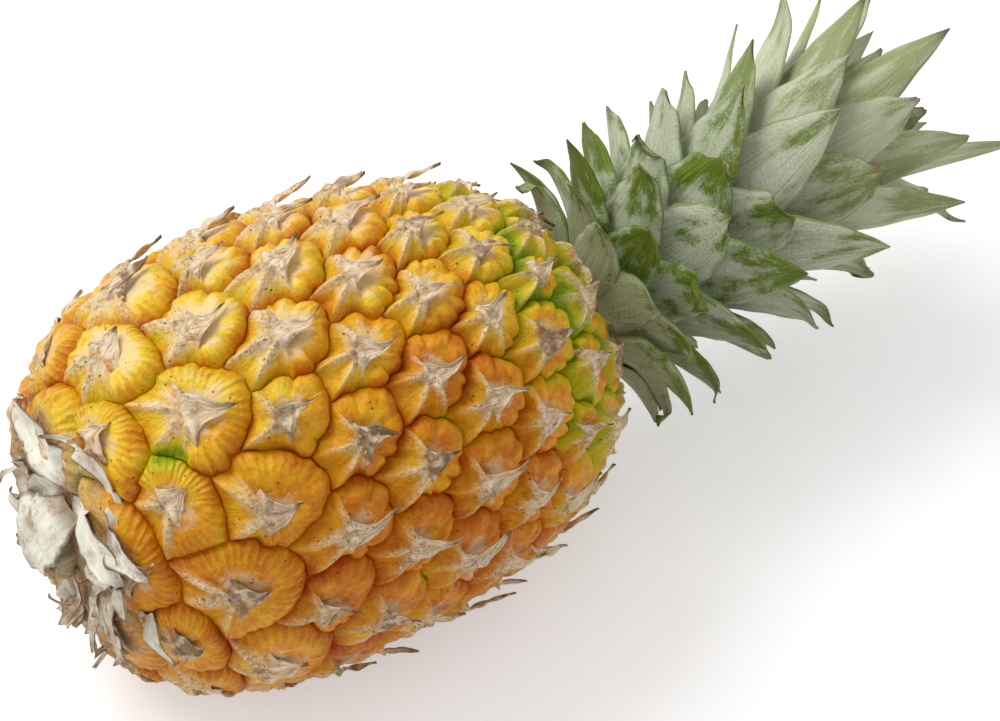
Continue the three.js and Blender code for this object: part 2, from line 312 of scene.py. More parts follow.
def sheet_mesh(top, bottom):
    """A thin closed body between two grids of points of the same shape, as points and faces."""
    rows, columns = top.shape[:2]
    size = rows * columns
    points = np.concatenate([top.reshape(-1, 3), bottom.reshape(-1, 3)])
    faces = grid_faces(rows, columns) + flipped(grid_faces(rows, columns, first=size))
    rim = list(range(columns))
    rim += [i * columns + columns - 1 for i in range(1, rows)]
    rim += [(rows - 1) * columns + j for j in range(columns - 2, -1, -1)]
    rim += [i * columns for i in range(rows - 2, 0, -1)]
    faces += [(b, a, a + size, b + size) for a, b in zip(rim, rim[1:] + rim[:1])]
    return points, faces


def on_both_sides(rows):
    """The same rows for the second grid of a sheet's points as for the first."""
    return np.tile(rows, (2, 1))


def aim_at(made, target, away):
    """Puts a camera or a lamp at an offset from its target, looking at the target."""
    made.location = target + away
    made.rotation_euler = (-away).to_track_quat("-Z", "Y").to_euler()


# ---- Shaders ----

def rgb(code):
    """A colour from its usual six hexadecimal digits."""
    channels = [int(code[i:i + 2], 16) / 255 for i in (0, 2, 4)]
    linear = [c / 12.92 if c <= 0.04045 else ((c + 0.055) / 1.055) ** 2.4 for c in channels]
    return (*linear, 1.0)


def math_method(operation, swapped=False):
    """A method of Value that adds a math node."""
    def method(self, other=0.0):
        inputs = (other, self) if swapped else (self, other)
        return self.shader.math(operation, *inputs)
    return method


class Value:
    """An output of a shader's node. Arithmetic with it adds the nodes that work it out at each point."""

    __add__ = __radd__ = math_method("ADD")
    __mul__ = __rmul__ = math_method("MULTIPLY")
    __sub__ = math_method("SUBTRACT")
    __rsub__ = math_method("SUBTRACT", swapped=True)
    __pow__ = math_method("POWER")
    __abs__ = math_method("ABSOLUTE")
    at_least = math_method("MAXIMUM")
    at_most = math_method("MINIMUM")
    sine = math_method("SINE")
    direction = math_method("ARCTAN2")

    def __init__(self, shader, socket):
        self.shader = shader
        self.socket = socket

    def clamped(self):
        """The same sum or product, kept within 0..1."""
        self.socket.node.use_clamp = True
        return self

    def ranged(self, low, high, to_low=0.0, to_high=1.0):
        """A smooth step from to_low to to_high, as this value goes from low to high."""
        inputs = {"Value": self, "From Min": low, "From Max": high, "To Min": to_low, "To Max": to_high}
        return self.shader.get("ShaderNodeMapRange", inputs, interpolation_type="SMOOTHSTEP")

    def ramp(self, *stops):
        """A colour for this value, from stops of a place and a colour each."""
        made = self.shader.get("ShaderNodeValToRGB", {0: self})
        points = made.socket.node.color_ramp.elements
        while len(points) < len(stops):
            points.new(0.5)
        for point, (place, code) in zip(points, stops):
            point.position = place
            point.color = rgb(code)
        return made

    def towards(self, colour, share):
        """This colour mixed with another one."""
        return self.shader.get("ShaderNodeMix", {0: share, 6: self, 7: colour}, 2, data_type="RGBA")


class Shader:
    """Builds a material or a world. A node's inputs are numbers, Values or hexadecimal colours."""

    def __init__(self, name, owners="materials"):
        self.owner = getattr(bpy.data, owners).new(name)
        self.owner.use_nodes = True
        self.tree = self.owner.node_tree
        self.tree.nodes.clear()
        self.place = self.get("ShaderNodeTexCoord", output="Object")

    def get(self, kind, inputs=None, output=0, **settings):
        """Adds a node and gives one of its outputs."""
        made = self.tree.nodes.new(kind)
        for key, value in settings.items():
            setattr(made, key, value)
        for key, value in (inputs or {}).items():
            if isinstance(value, Value):
                self.tree.links.new(value.socket, made.inputs[key])
            else:
                made.inputs[key].default_value = rgb(value) if isinstance(value, str) else value
        return Value(self, made.outputs[output])

    def math(self, operation, a, b=0.0):
        return self.get("ShaderNodeMath", {0: a, 1: b}, operation=operation)

    def split(self, vector):
        """The three numbers of a vector."""
        parts = self.get("ShaderNodeSeparateXYZ", {0: vector}).socket.node.outputs
        return [Value(self, part) for part in parts]

    def stored(self, name):
        """The three numbers of a vector attribute."""
        return self.split(self.get("ShaderNodeAttribute", output="Vector", attribute_name=name))

    def joined(self, x, y, z=0.0):
        return self.get("ShaderNodeCombineXYZ", {0: x, 1: y, 2: z})

    def noise(self, scale, detail=3.0, roughness=0.55, at=None):
        """Cloudy noise in 0..1, over the object's own coordinates unless another place is given."""
        inputs = {"Vector": at or self.place, "Scale": scale, "Detail": detail, "Roughness": roughness}
        return self.get("ShaderNodeTexNoise", inputs)

    def dots(self, scale):
        """Distance to the nearest of many scattered points."""
        return self.get("ShaderNodeTexVoronoi", {"Vector": self.place, "Scale": scale})

    def flecks(self, low, high, thickly):
        """Small flecks, only where a broader value in 0..1 lets them gather."""
        return self.noise(1100).ranged(low, high) * thickly

    def finish(self, colour, roughness, height, depth, specular):
        """The material, with a bump from a height in 0..1 and its depth in millimetres."""
        bump = self.get("ShaderNodeBump", {"Height": height, "Distance": depth * MM, "Strength": 1.0})
        inputs = {"Base Color": colour, "Roughness": roughness, "Normal": bump}
        inputs["Specular IOR Level"] = specular
        return self.end(self.get("ShaderNodeBsdfPrincipled", inputs))

    def seen(self):
        """1 for the rays of the camera and of reflections, and 0 for those that light the object."""
        rays = self.get("ShaderNodeLightPath").socket.node.outputs
        return Value(self, rays["Is Camera Ray"]).at_least(Value(self, rays["Is Glossy Ray"]))

    def end(self, surface, output="ShaderNodeOutputMaterial"):
        out = self.tree.nodes.new(output)
        self.tree.links.new(surface.socket, out.inputs[0])
        return self.owner


# ---- The eyes: a net of cells over the skin ----

RAYS_PER_CORNER = 13  # border points between two corners of a cell
RINGS = np.array([0.0, 0.07, 0.14, 0.21, 0.29, 0.37, 0.45, 0.53, 0.61, 0.69, 0.76, 0.82, 0.875, 0.92,
                  0.955, 0.98, 1.0])
CORNER_JITTER = 3.6  # how far apart a shared corner may be placed
CALYX_HALF = math.radians(97)  # half of the angle that the calyx takes on a grown eye
FEWEST_LOBES = 4
EYE_TWIST = math.radians(26)  # the range of angles by which eyes are turned about their middles
DISCS_BEGIN = 26  # eyes nearer the base's pole than this are flat discs
DISCS_END = 62  # and those farther from it than this aren't
BRACT_PEAK = 4.3
CENTRE_SHARE = 0.62  # height of an eye's middle, in heights of its bract's peak
CALYX_RISE = 3.9
BOWL_DEPTH = 2.0
CREASE_DEPTH = 1.7
RIM_HEIGHT = 0.9
SCALLOP = 1.8  # how far the lobes of a calyx push the crease outward
PLUMPNESS = 1.5  # how far a calyx bulges over its neighbours as a whole


class Eye:
    """One eye of the fruit, or a pole: its middle, its local directions and its ring of border points."""

    def __init__(self, number, bend, azimuth):
        self.bend = bend
        self.middle = skin_point(np.array(bend), np.array(azimuth))
        self.azimuth = azimuth
        self.normal = skin_normal(np.array(bend), np.array(azimuth))
        ahead = skin_point(np.array(min(math.pi, bend + 0.01)), np.array(azimuth)) - self.middle
        self.crownward = unit(ahead) if 0 < bend < math.pi else np.array([0.0, 0.0, 1.0])
        self.sideways = np.cross(self.normal, self.crownward)
        self.is_pole = number is None
        self.salt = number or 0
        # eyes near the base are flatter discs, with a wider calyx of more lobes
        self.disc = 0.0 if self.is_pole else float(step(DISCS_END, DISCS_BEGIN, self.middle[0]))
        self.lobes = FEWEST_LOBES + int(3 * self.chance(5)) + int(4 * self.disc)
        self.half = CALYX_HALF + math.radians(24 * self.disc + 16 * (self.chance(6) - 0.5))
        self.twist = EYE_TWIST * (self.chance(7) - 0.5)
        self.peak = BRACT_PEAK * (0.9 + 0.25 * self.chance(14)) * (1 - 0.45 * self.disc)
        self.centre_lift = 0.0 if self.is_pole else CENTRE_SHARE * BRACT_PEAK * (1 - 0.3 * self.disc)

    def chance(self, number):
        """One of the eye's own random numbers in 0..1."""
        return scatter(self.salt, number)

    def set_ring(self, numbers, nearness, points):
        """Takes the border's point numbers in order, and how near each is to a corner."""
        self.ring_numbers = numbers
        self.corner = np.array(nearness)
        self.ring = np.array([points[n] for n in numbers])
        self.angle = self.angle_of(self.ring)
        self.reach = np.linalg.norm(self.ring - self.middle, axis=1)
        self.radius = float(self.reach.mean())

    def angle_of(self, points):
        """Angle of points around the eye, 0 towards the crown."""
        offset = points - self.middle
        return wrap(np.arctan2(offset @ self.sideways, offset @ self.crownward) - self.twist)

    def border_at(self, angle):
        """Distance to the border at each angle, and how near that is to a corner."""
        order = np.argsort(self.angle)
        known = self.angle[order]
        reach = np.interp(angle, known, self.reach[order], period=FULL_TURN)
        return reach, np.interp(angle, known, self.corner[order], period=FULL_TURN)

    def lobe(self, angle):
        """1 on the crest of each lobe of the calyx and 0 in the grooves between them."""
        phase = (angle / self.half * 0.5 + 0.5) * self.lobes
        phase = phase + 0.22 * np.sin(2.1 * phase + PHASE * self.chance(8))
        return np.abs(np.sin(math.pi * phase))

    def rim(self, share, angle):
        """1 along the bract's two margins, which run from the middle to the cell's sides."""
        past = np.abs(angle) - self.half - 0.14
        return bell(past, 0.2) * step(0.04, 0.2, share) * step(1.0, 0.7, share)

    def bract_share(self, angle):
        """1 on the bract's side of the eye and 0 on the calyx."""
        return step(self.half - 0.06, self.half + 0.1, np.abs(angle))


def make_eyes():
    places = eyes_up_to(AREA / AREA[-1])
    eyes = []
    for number in range(FIRST_EYE, LAST_EYE + 1):
        bend = float(np.interp(number + SPIRAL_OFFSET, places, BENDS))
        eyes.append(Eye(number, bend, math.radians(SPIRAL_START - number * SPIRAL_TURN)))
    return eyes + [Eye(None, 0.0, 0.0), Eye(None, math.pi, 0.0)]


def neighbour_triangles(eyes):
    """Triangles of neighbouring eyes, from the hull of a conformal picture of the skin on a sphere."""
    mesh = bmesh.new()
    number_of = {}
    middle_turns = np.interp(math.pi / 2, BENDS, TURNS)
    for i, eye in enumerate(eyes):
        polar = 2 * math.atan(math.exp(float(np.interp(eye.bend, BENDS, TURNS) - middle_turns)))
        place = around(-math.cos(polar), math.sin(polar), eye.azimuth)
        number_of[mesh.verts.new(place.tolist())] = i
    bmesh.ops.convex_hull(mesh, input=list(mesh.verts))
    triangles = []
    for face in mesh.faces:
        corners = [number_of[vertex] for vertex in face.verts]
        if face.normal.dot(face.calc_center_median()) < 0:
            corners.reverse()
        for k in range(1, len(corners) - 1):
            triangles.append((corners[0], corners[k], corners[k + 1]))
    mesh.free()
    return triangles


def border_between(a, b, start, end):
    """Border points from one corner to the next, pushed about by the lobes of both eyes' calyxes."""
    share = np.linspace(0, 1, RAYS_PER_CORNER + 1)
    line = start + (end - start) * share[:, None]
    window = np.sin(math.pi * share) ** 0.5
    push = np.zeros(len(share))
    for eye, way in ((a, 1.0), (b, -1.0)):
        if eye.is_pole:
            continue
        angle = eye.angle_of(line)
        calyx = 1 - eye.bract_share(angle)
        plump = PLUMPNESS * np.sin(math.pi * share) * calyx
        push += way * (SCALLOP * (1 - 0.7 * eye.disc) * (eye.lobe(angle) ** 0.7 - 0.55) * calyx + plump)
    line = line + unit(b.middle - a.middle) * (push * window)[:, None]
    return skin_point(*look_up(line)), 2 * np.abs(share - 0.5)


def join_cells(eyes):
    """Gives every eye its ring of border points, and returns the points of all borders."""
    triangles = neighbour_triangles(eyes)
    left_of, follows = {}, {}
    points = []
    for t, (a, b, c) in enumerate(triangles):
        left_of[(a, b)] = left_of[(b, c)] = left_of[(c, a)] = t
        follows[(a, b)], follows[(b, c)], follows[(c, a)] = c, a, b
        middle = (eyes[a].middle + eyes[b].middle + eyes[c].middle) / 3
        middle = middle + CORNER_JITTER * np.array([scatter(t, salt) - 0.5 for salt in (11, 12, 13)])
        points.append(skin_point(*look_up(middle)))
    borders = {}
    for (a, b), t in left_of.items():
        if a > b:
            continue
        other = left_of[(b, a)]
        line, nearness = border_between(eyes[a], eyes[b], points[other], points[t])
        inner = range(len(points), len(points) + RAYS_PER_CORNER - 1)
        points.extend(line[1:-1])
        borders[(a, b)] = ([other, *inner, t], nearness)
        borders[(b, a)] = ([t, *reversed(inner), other], nearness[::-1])
    for i, eye in enumerate(eyes):
        first = next(b for (a, b) in left_of if a == i)
        numbers, nearness, b = [], [], None
        while b != first:
            b = first if b is None else b
            line, near = borders[(i, b)]
            numbers.extend(line[:-1])
            nearness.extend(near[:-1])
            b = follows[(i, b)]
        eye.set_ring(numbers, nearness, points)
    return np.array(points)


def bract_lift(eye, share, angle, corner):
    """Height of the bract: ridges run from its peak to the cell's corners, and its margin is raised."""
    edge = np.clip(1 - share ** 4, 0, 1) ** 0.75
    ridge = corner ** 2 * step(0.1, 0.5, share)
    hollow = (1 - corner) ** 1.2 * step(0.25, 0.95, share)
    height = eye.peak * (1 - 0.42 * share ** 1.2) + 1.3 * ridge - 1.9 * hollow
    height = height + RIM_HEIGHT * eye.rim(share, angle)
    pleats = np.sin(angle * 21 + 2.5 * np.sin(angle * 4 + eye.salt) + 2 * share)
    height = height + 0.22 * pleats * step(0.2, 0.55, share)
    return mix(-CREASE_DEPTH, height, edge)


def calyx_lift(eye, share, angle):
    """Height of the calyx: a plump rim of lobes around a shallow bowl, sunk a little along the bract."""
    disc, salt = eye.disc, eye.salt
    edge = np.clip(1 - share ** 5, 0, 1) ** 0.6
    rise = CALYX_RISE * (0.9 + 0.2 * eye.chance(15))
    bowl = BOWL_DEPTH * (1 + 0.3 * disc) * np.exp(-(share / (0.55 + 0.08 * disc)) ** 3)
    grooves = (1.9 - 1.2 * disc) * (1 - eye.lobe(angle)) ** 2 * step(0.4, 0.85, share)
    ridges = np.sin(angle * 26 + (3 - 2.2 * disc) * np.sin(angle * 3 + salt))
    ridges = (0.14 + 0.1 * disc) * ridges * step(0.45, 0.85, share)
    lumps = np.sin(angle * 11 + salt) * np.sin(share * 13 + 2 * np.sin(angle * 5))
    lumps = (0.5 - 0.3 * disc) * lumps * step(0.45, 0.8, share)
    beside = bell(eye.half - np.abs(angle), 0.28) * step(0.1, 0.4, share) * step(1, 0.7, share)
    return mix(-CREASE_DEPTH, rise - bowl - grooves + ridges + lumps - 0.9 * beside, edge)


def eye_lift(eye, share, angle, corner):
    calyx = calyx_lift(eye, share, angle)
    lift = mix(calyx, bract_lift(eye, share, angle, corner), eye.bract_share(angle))
    return mix(eye.centre_lift, lift, step(0.0, 0.16, share))


GREEN_BEGINS = 118  # the skin turns green between these distances from the base's pole
GREEN_FULLY = 150
# Unripe patches: distance from the base's pole, azimuth in degrees, size and strength
GREEN_SPOTS = ((62, 116, 5.5, 1.7), (58, 84, 28, 0.3), (30, 98, 15, 0.5), (20, 250, 12, 0.35),
               (60, 330, 18, 0.5), (96, 20, 20, 0.4), (95, 80, 26, 0.2))


def greenness(points, azimuth):
    """Where the skin is still green: near the crown, mostly above, and in a few unripe patches."""
    green = step(GREEN_BEGINS, GREEN_FULLY, points[..., 0])
    green = green * (0.38 + 0.8 * bell(azimuth - 115, 62))
    for along, turn, size, strength in GREEN_SPOTS:
        spot = skin_point(bend_along(along), np.array(math.radians(turn)))
        distance = np.linalg.norm(points - spot, axis=-1)
        green = green + strength * bell(distance, size)
    return np.clip(green + 0.18 * wave_noise(points, 13, 31) * (green > 0.02), 0, 1.6)


def patches_of(points):
    """How green, how dry and brown as around the stalk, and how much each point lies in a band along the
    top, strongest towards the base, and in a patch on the lower front near the base. Both make the skin
    yellower, paler, drier and more stained purple; along the top, the yellower and paler skin is painted
    light.
    """
    azimuth = np.degrees(np.arctan2(points[..., 2], points[..., 1])) % 360
    around_stalk = step(9.5, 3, points[..., 0] + 2.5 * wave_noise(points, 8, 33))
    x = points[..., 0] + 5 * wave_noise(points, 12, 35)
    lower = 1.5 * step(56, 30, x) * bell(azimuth - 210, 55)
    # the band along the top: its yellower and paler skin is painted light
    upper = (0.12 + 0.5 * step(85, 45, x)) * bell(azimuth - 70, 42)
    return together(greenness(points, azimuth), around_stalk, lower + upper)


def eye_blocks(eye):
    """Two blocks of rows for fruit_surface: one eye's points ring by ring, and then its middle."""
    inner = RINGS[1:-1]
    flat = eye.middle + inner[:, None, None] * (eye.ring - eye.middle)
    bend, azimuth = look_up(flat)
    share, angle, corner = np.broadcast_arrays(inner[:, None], eye.angle, eye.corner)
    lift, side, rim = np.zeros(bend.shape), 1.0, 0.0
    if not eye.is_pole:
        rough = 0.34 * wave_noise(flat, 6, 5) + 0.2 * wave_noise(flat, 2.7, 9)
        lift = eye_lift(eye, share, angle, corner) + rough
        side = eye.bract_share(angle)
        rim = eye.rim(share, angle)
    fade = relief(bend)
    chance = eye.chance(21)
    place = rows_of(share * np.cos(angle), share * np.sin(angle), share)
    tint = rows_of(step(0.58, 1.0, share) * fade, side, chance)
    raised = skin_point(bend, azimuth, lift * fade).reshape(-1, 3)
    rings = (raised, flat.reshape(-1, 3), place, tint, rows_of(rim, corner, eye.disc))
    raised = eye.middle + eye.normal * (eye.centre_lift * float(relief(np.array(eye.bend))))
    middle = (raised, eye.middle, (0.0, 0.0, 0.0), (0.0, 0.5, chance), (0.0, 0.5, eye.disc))
    return rings, tuple(np.array([row]) for row in middle)


def eye_faces(eye, first, calyx_faces, bract_faces):
    """Adds one eye's faces to the two lists; its own points begin at the number first."""
    rays = len(eye.ring)
    outer = first + (len(RINGS) - 3) * rays
    centre = outer + rays
    between = wrap(eye.angle + wrap(np.roll(eye.angle, -1) - eye.angle) / 2)
    is_bract = eye.bract_share(between) > 0.5
    for j in range(rays):
        k = (j + 1) % rays
        faces = bract_faces if is_bract[j] else calyx_faces
        faces.append((centre, first + j, first + k))
        for low in range(first, outer, rays):
            faces.append((low + j, low + rays + j, low + rays + k, low + k))
        faces.append((outer + j, eye.ring_numbers[j], eye.ring_numbers[k], outer + k))


def fruit_surface(eyes, border):
    """The skin as one net: its points, the same without relief, values for its colours, and its faces.

    The values are the place in the eye and the share of the way to its border; how deep in a crease,
    whether on the bract, and a random number for each eye; the bract's rim, how near to a corner, and
    how much of a flat disc the eye is. The faces are in two lists, the calyxes' and the bracts'.
    """
    bend, azimuth = look_up(border)
    depth = -CREASE_DEPTH - 0.35 * wave_noise(border, 9, 3)
    raised = skin_point(bend, azimuth, depth * relief(bend))
    ones = np.ones(len(border))
    blocks = [(raised, border, rows_of(0.0, 0.0, ones), rows_of(ones, 0.0, 0.0), np.zeros(border.shape))]
    count = len(border)
    calyx_faces, bract_faces = [], []
    for eye in eyes:
        rings, middle = eye_blocks(eye)
        blocks += [rings, middle]
        eye_faces(eye, count, calyx_faces, bract_faces)
        count += len(rings[0]) + 1
    return *(np.concatenate(rows) for rows in zip(*blocks)), calyx_faces, bract_faces


def keep_used(faces, arrays):
    """The faces renumbered for only the points that they use, with those points' rows of each array."""
    used = sorted({number for face in faces for number in face})
    new_number = {number: i for i, number in enumerate(used)}
    faces = [tuple(new_number[number] for number in face) for face in faces]
    return faces, [array[used] for array in arrays]


TIP_ROWS_BEHIND = 6
TIP_ROWS_AHEAD = 17
TIP_COLUMNS = 13
TIP_THICKNESS = 0.34
TIP_FOOT = -0.24  # where a tip's root starts, in radii of the eye from its middle
TIP_SHORTEST = 0.64  # length from the middle, in radii of the eye
TIP_MORE = 0.46  # and how much longer the longest tips are
TIP_LOWEST = 0.8  # how far a tip's end stands off its bract
TIP_CLIMB = 4.6  # and how much farther the highest ones do


def tip_half_width(eye, forward, free):
    """A flared foot that narrows to a tongue."""
    radius = eye.radius
    flare = radius * (0.26 + 0.16 * eye.chance(42))
    tongue = radius * (0.165 + 0.08 * eye.chance(43)) * (1 - free) ** (0.75 + 0.5 * eye.chance(51))
    foot = (flare + tongue) * mix(0.45, 1.0, step(TIP_FOOT, 0.0, forward / radius))
    half = np.where(forward < 0, foot, flare * np.exp(-forward / (0.12 * radius)) + tongue)
    return np.maximum(half, 0.12)


def tip_lift(eye, flat, forward, sideways, across, half, free):
    """Height: on the bract's own surface at first, and rising from it as the tongue comes free."""
    run = forward / eye.radius
    angle = eye.angle_of(flat)
    reach, corner = eye.border_at(angle)
    share = np.clip(np.hypot(forward, sideways) / reach, 0, 0.97)
    outward = np.where(np.abs(angle) > eye.half, angle, np.sign(angle) * (eye.half + 0.1))
    on_peak = eye.peak * (1 - 0.15 * share)
    lift = mix(bract_lift(eye, share, outward, corner), on_peak, step(-0.12, 0.2, run))
    rooted = 1 - step(TIP_FOOT, -0.1, run)
    sunk_sides = (1 - step(0.02, 0.2, run)) * step(0.55, 1, np.abs(across))
    lift = lift + 0.35 - 1.1 * rooted - 0.75 * sunk_sides
    pressed = float(step(26, 12, eye.middle[0]))
    rise = TIP_LOWEST + TIP_CLIMB * eye.chance(45) ** 1.4
    rise = rise * (1 - 0.35 * eye.disc) * (1 - 0.8 * pressed)
    fold = 0.65 * half * (across ** 2 - 0.25) * step(0.02, 0.3, run)
    leaning = (eye.chance(46) - 0.5) * 2.0 * across * half * free
    ruffle = 0.3 * np.sin(across * 3.5 + forward * 0.9 + PHASE * eye.chance(47)) * step(0, 0.1, free)
    pleats = 0.14 * np.sin(across * 11 + PHASE * eye.chance(48)) * (1 - free)
    return lift + rise * free ** 1.6 + fold + leaning + ruffle + pleats


def tip_sheet(eye):
    """The dry tip of one eye's bract: thin margins sweep in from its sides and run on into a tongue."""
    radius = eye.radius
    length = radius * (TIP_SHORTEST + TIP_MORE * eye.chance(41) ** 1.5) * (1 - 0.38 * eye.disc)
    behind = np.linspace(TIP_FOOT, 0, TIP_ROWS_BEHIND) * radius
    ahead = np.linspace(0, 1, TIP_ROWS_AHEAD)[1:] ** 1.35 * length
    forward = np.concatenate([behind, ahead])[:, None]
    across = np.linspace(-1, 1, TIP_COLUMNS)[None, :]
    free = np.clip(forward / length, 0, 1)
    half = tip_half_width(eye, forward, free)
    curl = (eye.chance(44) - 0.5) * 1.5
    bend_back = 0.1 * length * np.sin(4 * free + PHASE * eye.chance(52)) * step(0.05, 0.5, free)
    sideways = across * half + curl * length * free ** 2 * 0.5 + bend_back
    forward = forward - 0.13 * radius * across ** 2 * (1 - step(0.05, 0.4, free))
    along_u = forward * math.cos(eye.twist) - sideways * math.sin(eye.twist)
    along_v = forward * math.sin(eye.twist) + sideways * math.cos(eye.twist)
    flat = eye.middle + along_u[..., None] * eye.crownward + along_v[..., None] * eye.sideways
    bend, azimuth = look_up(flat)
    lift = tip_lift(eye, flat, forward, sideways, across, half, free)
    fade = np.maximum(relief(bend), 0.35 * free)
    thickness = TIP_THICKNESS * (1 - 0.5 * np.abs(across) ** 2)
    top = skin_point(bend, azimuth, lift * fade)
    bottom = skin_point(bend, azimuth, (lift - thickness) * fade)
    points, faces = sheet_mesh(bottom, top)
    values = rows_of(free, across, eye.chance(49))
    return points, faces, on_both_sides(values), on_both_sides(rows_of(forward, sideways, 0.0) / radius)


def stack_sheets(sheets):
    """Several bodies as one mesh."""
    all_faces = []
    count = 0
    for points, faces, _, _ in sheets:
        all_faces += [tuple(number + count for number in face) for face in faces]
        count += len(points)
    points, _, values, places = zip(*sheets)
    return np.concatenate(points), all_faces, np.concatenate(values), np.concatenate(places)


# ---- The base: stalk and papery bracts ----

# Each bract runs over the skin from its root to its tip, given as the distance from the base's pole
# and the azimuth in degrees. The aged ones are brown, and a blunt one lies over the cut stalk.
Paper = namedtuple("Paper", "root tip half lift fold bow ragged aged blunt", defaults=(False,))
BASE_BRACTS = [  # the six that stand for nodes
    Paper((31, 103), (43, 34), 6.5, 3, 0.5, -4, 0.4, 0.1),
    Paper((20, 104), (38, 152), 10, 2, 0.15, 2, 0.6, 0.0),
    Paper((25, 160), (38, 205), 5, 3, 0.4, 3, 0.9, 0.7),
    Paper((14, 258), (36, 276), 6, 1.5, 0.3, -4, 0.7, 0.4),
    Paper((11, 325), (30, 346), 6, 1.2, 0.3, 3, 0.7, 0.3),
    Paper((13, 44), (29, 20), 6, 1.5, 0.4, -3, 0.7, 0.6),
]
BASE_STRIPS = [  # loose strips, in the looks only
    Paper((40, 130), (37, 76), 2.6, 2.5, 0.8, 5, 0.4, 0.3),
    Paper((36, 128), (47, 149), 4.8, 2.2, 0.6, 2, 0.3, 0.0),
    Paper((22, 156), (39, 242), 1.9, 5, 0.9, 5, 0.6, 0.5),
    Paper((24, 172), (36, 214), 2.6, 3, 0.8, -4, 0.6, 0.7),
    Paper((16, 62), (24, 4), 1.7, 5, 0.9, 4, 0.5, 0.9),
    Paper((9, 182), (22, 272), 1.6, 3, 0.9, -3, 0.5, 1.0),
    Paper((33, 145), (22, 174), 5.0, 2, 0.4, 3, 0.9, 0.2),
    Paper((40, 165), (51, 183), 2.2, 2, 0.8, 2, 0.5, 0.4),
    Paper((30, 152), (37, 170), 3.6, 3, 0.9, -2, 1.0, 0.5),
    Paper((24, 94), (12, 50), 4.5, 2, 0.5, 2, 0.7, 0.3),
    Paper((18, 232), (33, 262), 3.5, 4, 0.6, 3, 0.6, 0.6),
    Paper((18, 300), (30, 318), 3.0, 3, 0.8, -3, 0.5, 0.8),
    Paper((24, 106), (-11, 118), 10, 1, 0.02, 4, 1.5, 0.05, True),
]
PAPER_ROWS = 40
PAPER_COLUMNS = 15
PAPER_THICKNESS = 0.35
PAPER_CLEARANCE = 1.1
SMOOTHING_PASSES = 6


def surface_height(eyes, points):
    """Lift of the skin with its eyes at places on it, from the nearest eye."""
    middles = np.array([eye.middle for eye in eyes])
    distance = np.linalg.norm(points[..., None, :] - middles, axis=-1)
    nearest = distance.argmin(axis=-1)
    lift = np.zeros(points.shape[:-1])
    for number in np.unique(nearest):
        eye = eyes[number]
        if eye.is_pole:
            continue
        here = nearest == number
        angle = eye.angle_of(points[here])
        reach, corner = eye.border_at(angle)
        share = np.clip(distance[here][..., number] / reach, 0, 0.99)
        lift[here] = eye_lift(eye, share, angle, corner)
    return lift * relief(look_up(points)[0])


def base_sheet(eyes, salt, paper):
    """One papery bract over the base, wrinkled and torn along its edge."""
    share = np.linspace(0, 1, PAPER_ROWS)[:, None]
    across = np.linspace(-1, 1, PAPER_COLUMNS)[None, :]
    along = mix(paper.root[0], paper.tip[0], share)
    turn = np.radians(mix(paper.root[1], paper.tip[1], share)) + math.pi * (along < 0)
    bend = bend_along(np.abs(along))
    line = skin_point(bend, turn)[:, 0]
    ahead = unit(np.gradient(line, axis=0))
    side = unit(np.cross(ahead, skin_normal(bend, turn)[:, 0]))
    end_power, end_round = (4.0, 0.6) if paper.blunt else (2.2, 0.8)
    torn = paper.ragged * wave_noise(together(share * 30, salt, 0), 5, salt)
    half = paper.half * np.minimum(1, 0.5 + 1.7 * share) * (1 - share ** end_power) ** end_round
    half = np.maximum(half * (1 + 0.13 * torn), 0.15)
    bow = paper.bow * np.sin(math.pi * share)
    flat = line[:, None] + side[:, None] * (across * half + bow)[..., None]
    height = surface_height(eyes, flat)
    if paper.blunt:
        from_axis = np.hypot(flat[..., 1], flat[..., 2])
        height = np.maximum(height, (STALK_LENGTH + 1.2) * step(30, 10.5, from_axis))
    smooth = height.copy()
    for _ in range(SMOOTHING_PASSES):
        beside = smooth[1:-1, :-2] + smooth[1:-1, 2:]
        smooth[1:-1, 1:-1] = (smooth[:-2, 1:-1] + smooth[2:, 1:-1] + beside) / 4
    lift = np.maximum(smooth, height - 0.4) + PAPER_CLEARANCE + paper.lift * share ** 2
    lift = lift + paper.fold * half * across ** 2 * step(0.1, 0.6, share)
    lift = lift - 1.2 * (1 - step(0, 0.12, share))
    crumple = 0.75 * wave_noise(flat, 9, salt + 60) + 0.16 * wave_noise(flat, 3.5, salt + 61)
    lift = lift + crumple + 1.3 * (np.abs(wave_noise(flat, 13, salt + 62)) - 0.3)
    under = look_up(flat)
    points, faces = sheet_mesh(skin_point(*under, lift), skin_point(*under, lift - PAPER_THICKNESS))
    values = rows_of(share, across, paper.aged)
    place = rows_of(share * 3, across * half / 8, 0.0)
    return points, faces, on_both_sides(values), on_both_sides(place)


STALK_COLUMNS = 72
STALK_OUTLINE = np.array([(4.0, 8.0), (1.0, 9.3), (-1.5, 9.9), (-3.2, 9.4), (-4.6, 8.2), (-5.0, 7.2),
                          (-4.6, 6.3), (-4.2, 5.0), (-4.1, 3.6), (-4.2, 2.2), (-4.3, 1.0)])


def stalk_body():
    """The cut stalk: a short rough stump with a sunken, fibrous face."""
    turn = np.linspace(0, FULL_TURN, STALK_COLUMNS, endpoint=False)[None, :]
    radius = STALK_OUTLINE[:, 1:] * (1 + 0.04 * np.sin(5 * turn + 1) + 0.03 * np.sin(17 * turn))
    rings = around(STALK_OUTLINE[:, :1] - GAP, radius, turn)
    rings = rings + 0.35 * wave_noise(rings, 2.5, 71)[..., None] * np.array([1.0, 0.3, 0.3])
    points, faces = capped_tube(rings)
    values = np.zeros((len(points), 3))
    values[:-1, 0] = np.repeat(STALK_OUTLINE[:, 1], STALK_COLUMNS) / STALK_RADIUS
    return points, flipped(faces), values


# ---- The crown ----

